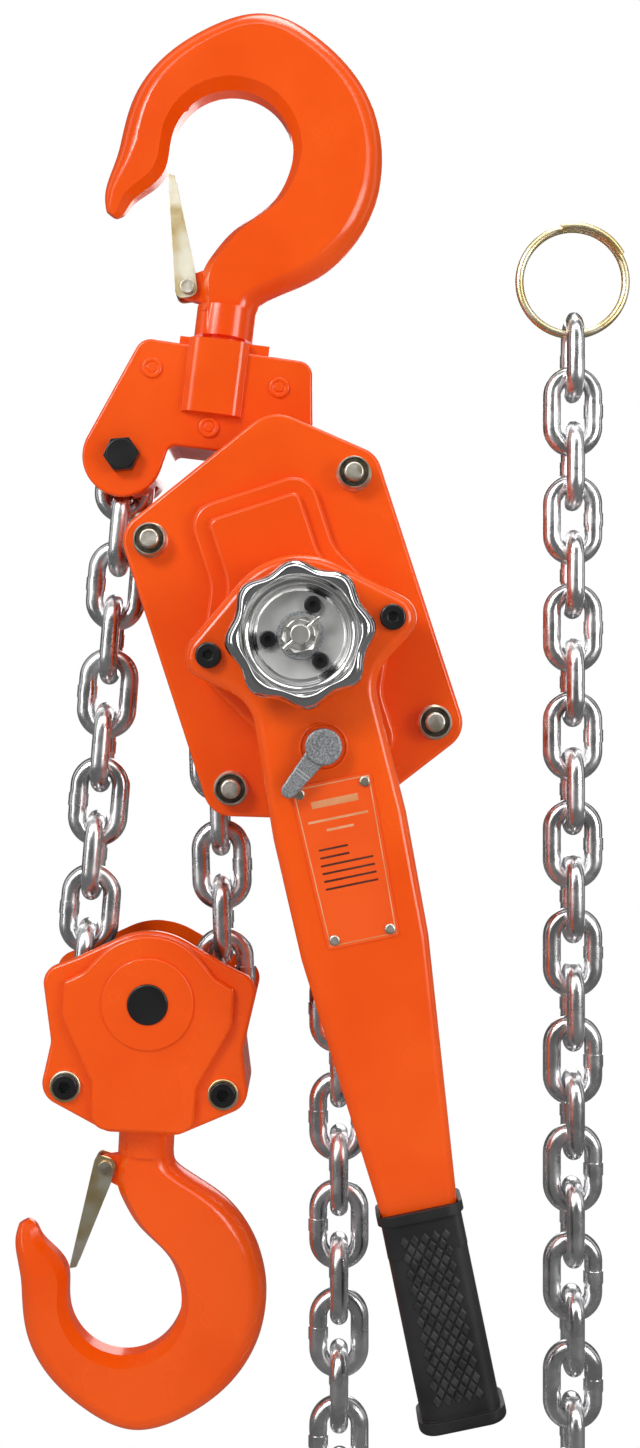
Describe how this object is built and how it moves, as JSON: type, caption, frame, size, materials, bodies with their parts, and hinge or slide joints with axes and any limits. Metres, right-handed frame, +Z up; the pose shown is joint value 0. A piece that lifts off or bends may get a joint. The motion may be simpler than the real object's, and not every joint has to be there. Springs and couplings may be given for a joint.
{
  "type": "lever chain hoist",
  "caption": "Lever chain hoist with latched top and bottom hooks, a swivelling lower chain block, a ratchet lever with rubber grip, a scalloped hand wheel and link chain ending in a ring.",
  "frame": {"origin": "centre of the top hook's bowl, on the plane through the middle of both hooks and of the load chain", "axes": "+Z up towards the top hook's crown, +Y towards the gear case at the back, +X to the right when seen from the hand wheel"},
  "size_m": [0.3413, 0.172, 0.8749],
  "materials": {
    "orange_paint": "gloss",
    "yellow_zinc": "satin",
    "zinc_steel": "satin",
    "black_steel": "satin",
    "bright_chain": "polished",
    "chrome_wheel": "polished",
    "bare_steel": "satin",
    "cast_sheave": "matte",
    "grey_casting": "satin",
    "brake_lining": "matte",
    "black_rubber": "matte",
    "orange_plate": "satin"
  },
  "bodies": {
    "top_hook": {"top_hook": "orange_paint", "top_hook_nut": "bare_steel", "top_latch_pin": "zinc_steel"},
    "top_latch": {"top_hook_latch": "yellow_zinc"},
    "yoke": {"yoke_front_half": "orange_paint", "yoke_rear_half": "orange_paint", "yoke_rivets": "orange_paint", "anchor_bolt": "black_steel", "anchor_nut": "black_steel"},
    "hoist_body": {"front_frame_plate": "orange_paint", "rear_frame_plate": "orange_paint", "brake_cover": "orange_paint", "gear_case": "orange_paint", "stay_bolts": "zinc_steel", "stay_nuts_front": "zinc_steel", "stay_nuts_rear": "zinc_steel", "yoke_pin": "bare_steel", "sheave_bearings": "bare_steel", "pawl_pins": "bare_steel", "chain_stripper": "bare_steel", "chain_guide": "bare_steel", "chain_on_sheave": "bright_chain"},
    "lever": {"lever_front_shell": "orange_paint", "lever_rear_shell": "orange_paint", "lever_screws": "black_steel", "lever_grip": "black_rubber", "nameplate": "orange_plate", "nameplate_rivets": "zinc_steel"},
    "selector": {"selector_knob": "grey_casting", "selector_pawl": "bare_steel"},
    "drive_shaft": {"pinion_shaft": "bare_steel", "friction_hub": "bare_steel", "change_gear": "bare_steel", "hand_wheel": "chrome_wheel", "hand_wheel_screws": "black_steel", "castle_nut": "bare_steel", "cotter_pin": "bare_steel"},
    "brake_ratchet": {"brake_ratchet": "bare_steel", "friction_discs": "brake_lining"},
    "pawl_left": {"pawl_left": "bare_steel"},
    "pawl_right": {"pawl_right": "bare_steel"},
    "disc_gear_upper": {"disc_gear_upper": "bare_steel"},
    "disc_gear_lower": {"disc_gear_lower": "bare_steel"},
    "load_sheave": {"load_sheave": "cast_sheave", "load_gear": "bare_steel"},
    "left_fall": {"chain_left_fall": "bright_chain"},
    "block": {"block_front_shell": "orange_paint", "block_rear_shell": "orange_paint", "block_bolts": "black_steel", "block_collars": "yellow_zinc", "idler_axle": "black_steel", "chain_on_idler": "bright_chain"},
    "idler": {"idler_sheave": "cast_sheave"},
    "right_fall": {"chain_right_fall": "bright_chain"},
    "bottom_hook": {"bottom_hook": "orange_paint", "bottom_hook_nut": "bare_steel", "bottom_latch_pin": "zinc_steel"},
    "bottom_latch": {"bottom_hook_latch": "yellow_zinc"},
    "tail": {"chain_tail": "bright_chain"},
    "end_ring": {"end_ring": "yellow_zinc"}
  },
  "joints": [
    {"name": "hook_swivel", "type": "hinge", "parent": "top_hook", "child": "yoke", "pos_m": [-0.00922, 0, -0.13911], "axis": [0.1219, 0, 0.9925], "continuous": true},
    {"name": "top_latch_swing", "type": "hinge", "parent": "top_hook", "child": "top_latch", "pos_m": [-0.02427, 0, -0.0746], "axis": [0, 1, 0], "range_deg": [0, 25], "stiffness_Nm_per_rad": 0.02, "springref_deg": -20.05},
    {"name": "yoke_pivot", "type": "hinge", "parent": "yoke", "child": "hoist_body", "pos_m": [0.02603, 0, -0.17236], "axis": [0, 1, 0], "range_deg": [-3, 3]},
    {"name": "left_fall_swing", "type": "hinge", "parent": "yoke", "child": "left_fall", "pos_m": [-0.05828, 0, -0.17027], "axis": [0, 1, 0], "range_deg": [-1.2, 1.2]},
    {"name": "block_tilt", "type": "hinge", "parent": "left_fall", "child": "block", "pos_m": [-0.08301, 0, -0.46819], "axis": [0, 1, 0], "range_deg": [-2.5, 2.5]},
    {"name": "right_fall_swing", "type": "hinge", "parent": "block", "child": "right_fall", "pos_m": [-0.00399, 0, -0.46381], "axis": [0, 1, 0], "range_deg": [-1.5, 1.5]},
    {"name": "idler_spin", "type": "hinge", "parent": "block", "child": "idler", "pos_m": [-0.0435, 0, -0.466], "axis": [0, 1, 0], "continuous": true},
    {"name": "bottom_hook_swivel", "type": "hinge", "parent": "block", "child": "bottom_hook", "pos_m": [-0.0435, 0, -0.466], "axis": [0.0506, 0, 0.9987], "continuous": true},
    {"name": "bottom_latch_swing", "type": "hinge", "parent": "bottom_hook", "child": "bottom_latch", "pos_m": [-0.06952, 0, -0.56049], "axis": [0, 1, 0], "range_deg": [-25, 0], "stiffness_Nm_per_rad": 0.02, "springref_deg": 20.05},
    {"name": "lever_swing", "type": "hinge", "parent": "hoist_body", "child": "lever", "pos_m": [0.039, 0, -0.2715], "axis": [0, 1, 0], "continuous": true},
    {"name": "selector_turn", "type": "hinge", "parent": "lever", "child": "selector", "pos_m": [0.05056, -0.084, -0.32732], "axis": [0, 1, 0], "range_deg": [-24, 24]},
    {"name": "hand_wheel_spin", "type": "hinge", "parent": "hoist_body", "child": "drive_shaft", "pos_m": [0.039, 0, -0.2715], "axis": [0, 1, 0], "continuous": true},
    {"name": "brake_ratchet_spin", "type": "hinge", "parent": "hoist_body", "child": "brake_ratchet", "pos_m": [0.039, 0, -0.2715], "axis": [0, 1, 0], "continuous": true},
    {"name": "pawl_left_swing", "type": "hinge", "parent": "hoist_body", "child": "pawl_left", "pos_m": [-0.00052, 0, -0.26962], "axis": [0, 1, 0], "range_deg": [0, 8], "stiffness_Nm_per_rad": 0.05, "springref_deg": -11.46},
    {"name": "pawl_right_swing", "type": "hinge", "parent": "hoist_body", "child": "pawl_right", "pos_m": [0.07851, 0, -0.27338], "axis": [0, 1, 0], "range_deg": [0, 8], "stiffness_Nm_per_rad": 0.05, "springref_deg": -11.46},
    {"name": "disc_gear_upper_spin", "type": "hinge", "parent": "hoist_body", "child": "disc_gear_upper", "pos_m": [0.02818, 0, -0.23822], "axis": [0, 1, 0], "continuous": true},
    {"name": "disc_gear_lower_spin", "type": "hinge", "parent": "hoist_body", "child": "disc_gear_lower", "pos_m": [0.04981, 0, -0.30479], "axis": [0, 1, 0], "continuous": true},
    {"name": "load_sheave_spin", "type": "hinge", "parent": "hoist_body", "child": "load_sheave", "pos_m": [0.039, 0, -0.2715], "axis": [0, 1, 0], "continuous": true},
    {"name": "tail_swing", "type": "hinge", "parent": "hoist_body", "child": "tail", "pos_m": [0.07353, 0, -0.30602], "axis": [0, 1, 0], "range_deg": [-3.2, 3.2]},
    {"name": "ring_swing", "type": "hinge", "parent": "tail", "child": "end_ring", "pos_m": [0.18907, 0, -0.09237], "axis": [0, 1, 0], "range_deg": [-6, 6]}
  ],
  "couplings": [
    {"joint": "left_fall_swing", "follows": "yoke_pivot", "ratio": 0.30201},
    {"joint": "block_tilt", "follows": "yoke_pivot", "ratio": -0.65367},
    {"joint": "right_fall_swing", "follows": "yoke_pivot", "ratio": 0.35166},
    {"joint": "tail_swing", "follows": "yoke_pivot", "ratio": -1},
    {"joint": "disc_gear_upper_spin", "follows": "hand_wheel_spin", "ratio": -0.27273},
    {"joint": "disc_gear_lower_spin", "follows": "hand_wheel_spin", "ratio": -0.27273},
    {"joint": "load_sheave_spin", "follows": "hand_wheel_spin", "ratio": 0.10909}
  ]
}
